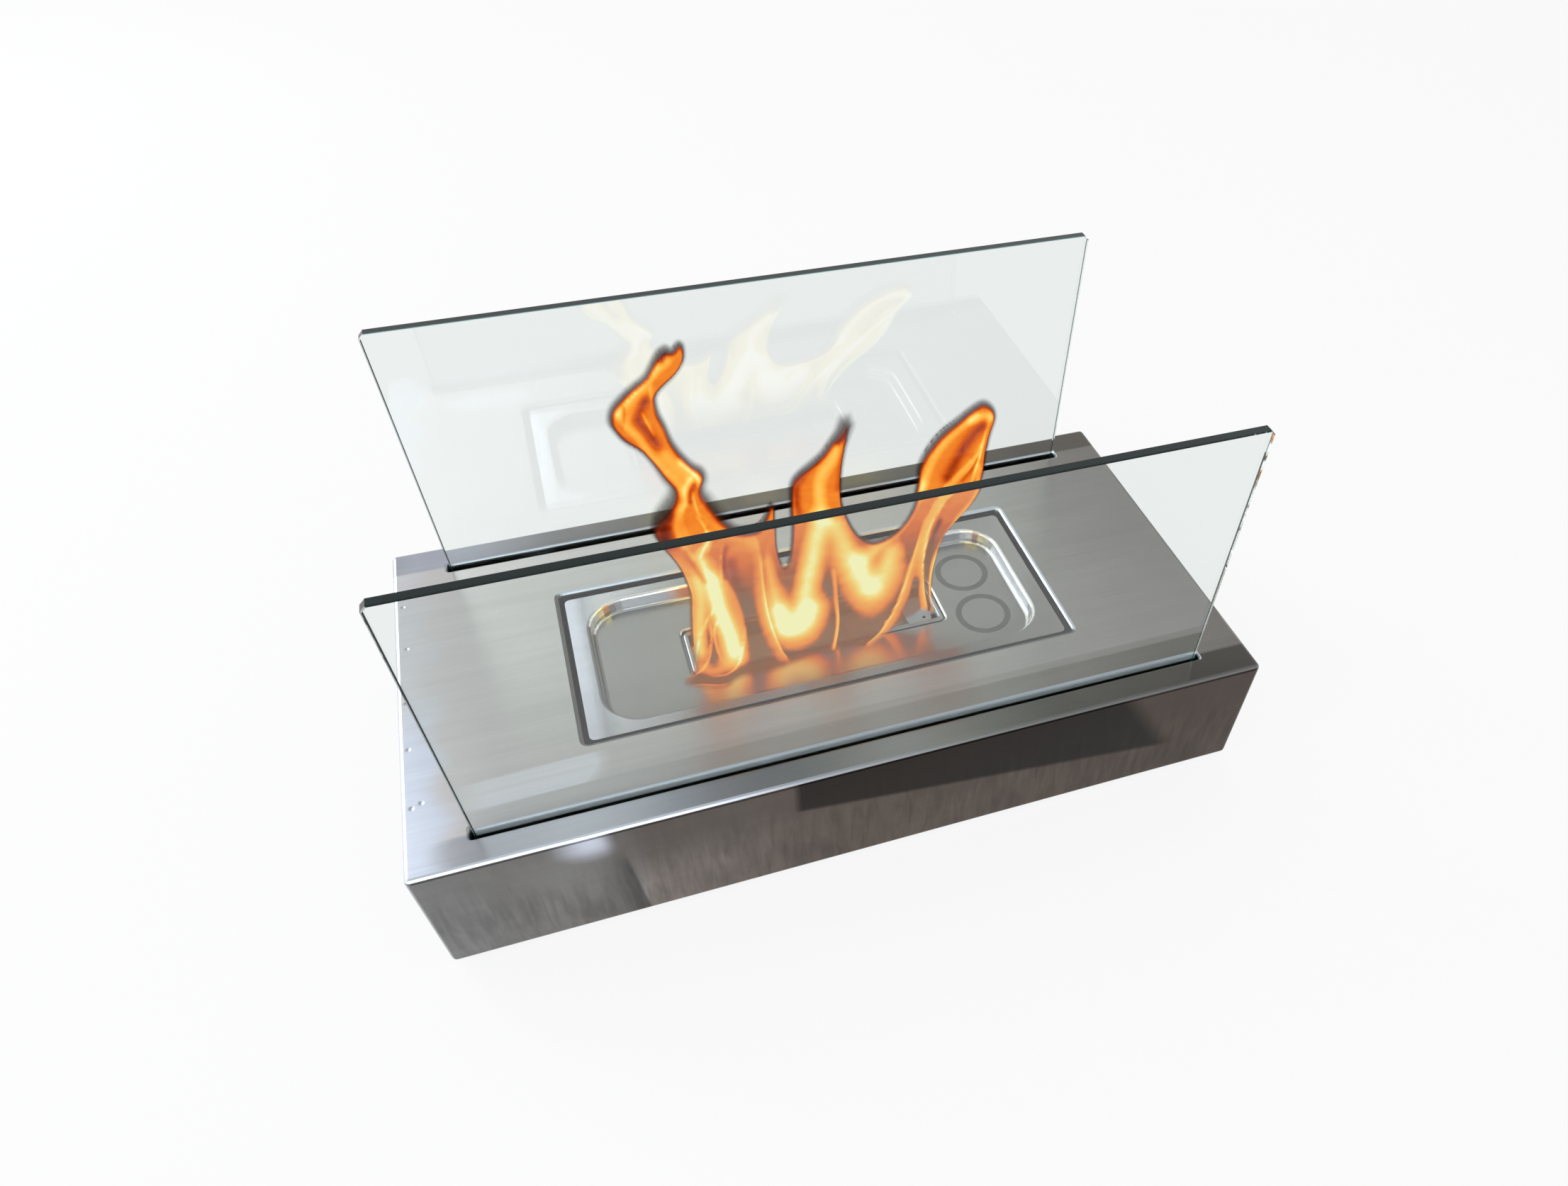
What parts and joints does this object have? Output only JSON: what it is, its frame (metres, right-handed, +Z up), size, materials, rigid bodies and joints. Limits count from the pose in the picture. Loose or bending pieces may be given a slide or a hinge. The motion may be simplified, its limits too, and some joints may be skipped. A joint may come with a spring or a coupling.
{
  "type": "tabletop bioethanol fireplace",
  "caption": "Brushed stainless box on feet with two upright glass panes in slots and a central lift-out burner: tray, box and fuel tank with a slot mouth.",
  "frame": {"origin": "middle of the footprint on the surface the feet stand on", "axes": "+Z up, X along the long side, -Y towards the front"},
  "size_m": [0.35, 0.18, 0.18],
  "materials": {
    "brushed_steel": "brushed stainless sheet",
    "galvanised_steel": "plain zinc-coated sheet",
    "clear_glass": "clear float glass with arrised edges",
    "foot_rubber": "matt black rubber",
    "pad_silicone": "dark silicone rubber",
    "ceramic_fibre": "white ceramic fibre"
  },
  "bodies": {
    "housing": {"casing_shell": "brushed_steel", "base_plate": "galvanised_steel", "foot_front_left": "foot_rubber", "foot_front_right": "foot_rubber", "foot_rear_left": "foot_rubber", "foot_rear_right": "foot_rubber", "front_glass_channel": "galvanised_steel", "rear_glass_channel": "galvanised_steel", "front_glass_pad_left": "pad_silicone", "front_glass_pad_right": "pad_silicone", "rear_glass_pad_left": "pad_silicone", "rear_glass_pad_right": "pad_silicone", "burner_rest_left": "galvanised_steel", "burner_rest_right": "galvanised_steel"},
    "burner": {"burner_tray": "brushed_steel", "burner_outer_box": "brushed_steel", "fuel_tank": "brushed_steel", "fuel_tank_lid": "brushed_steel", "slot_collar": "brushed_steel", "fill_gauge_plate": "brushed_steel", "ceramic_wool": "ceramic_fibre", "tank_spacer_left": "ceramic_fibre", "tank_spacer_right": "ceramic_fibre"},
    "front_glass": {"front_glass": "clear_glass"},
    "rear_glass": {"rear_glass": "clear_glass"}
  },
  "joints": [
    {"name": "burner_lift", "type": "slide", "parent": "housing", "child": "burner", "axis": [0, 0, 1], "range_m": [0, 0.17]},
    {"name": "front_glass_lift", "type": "slide", "parent": "housing", "child": "front_glass", "axis": [0, 0, 1], "range_m": [0, 0.15]},
    {"name": "rear_glass_lift", "type": "slide", "parent": "housing", "child": "rear_glass", "axis": [0, 0, 1], "range_m": [0, 0.15]}
  ]
}
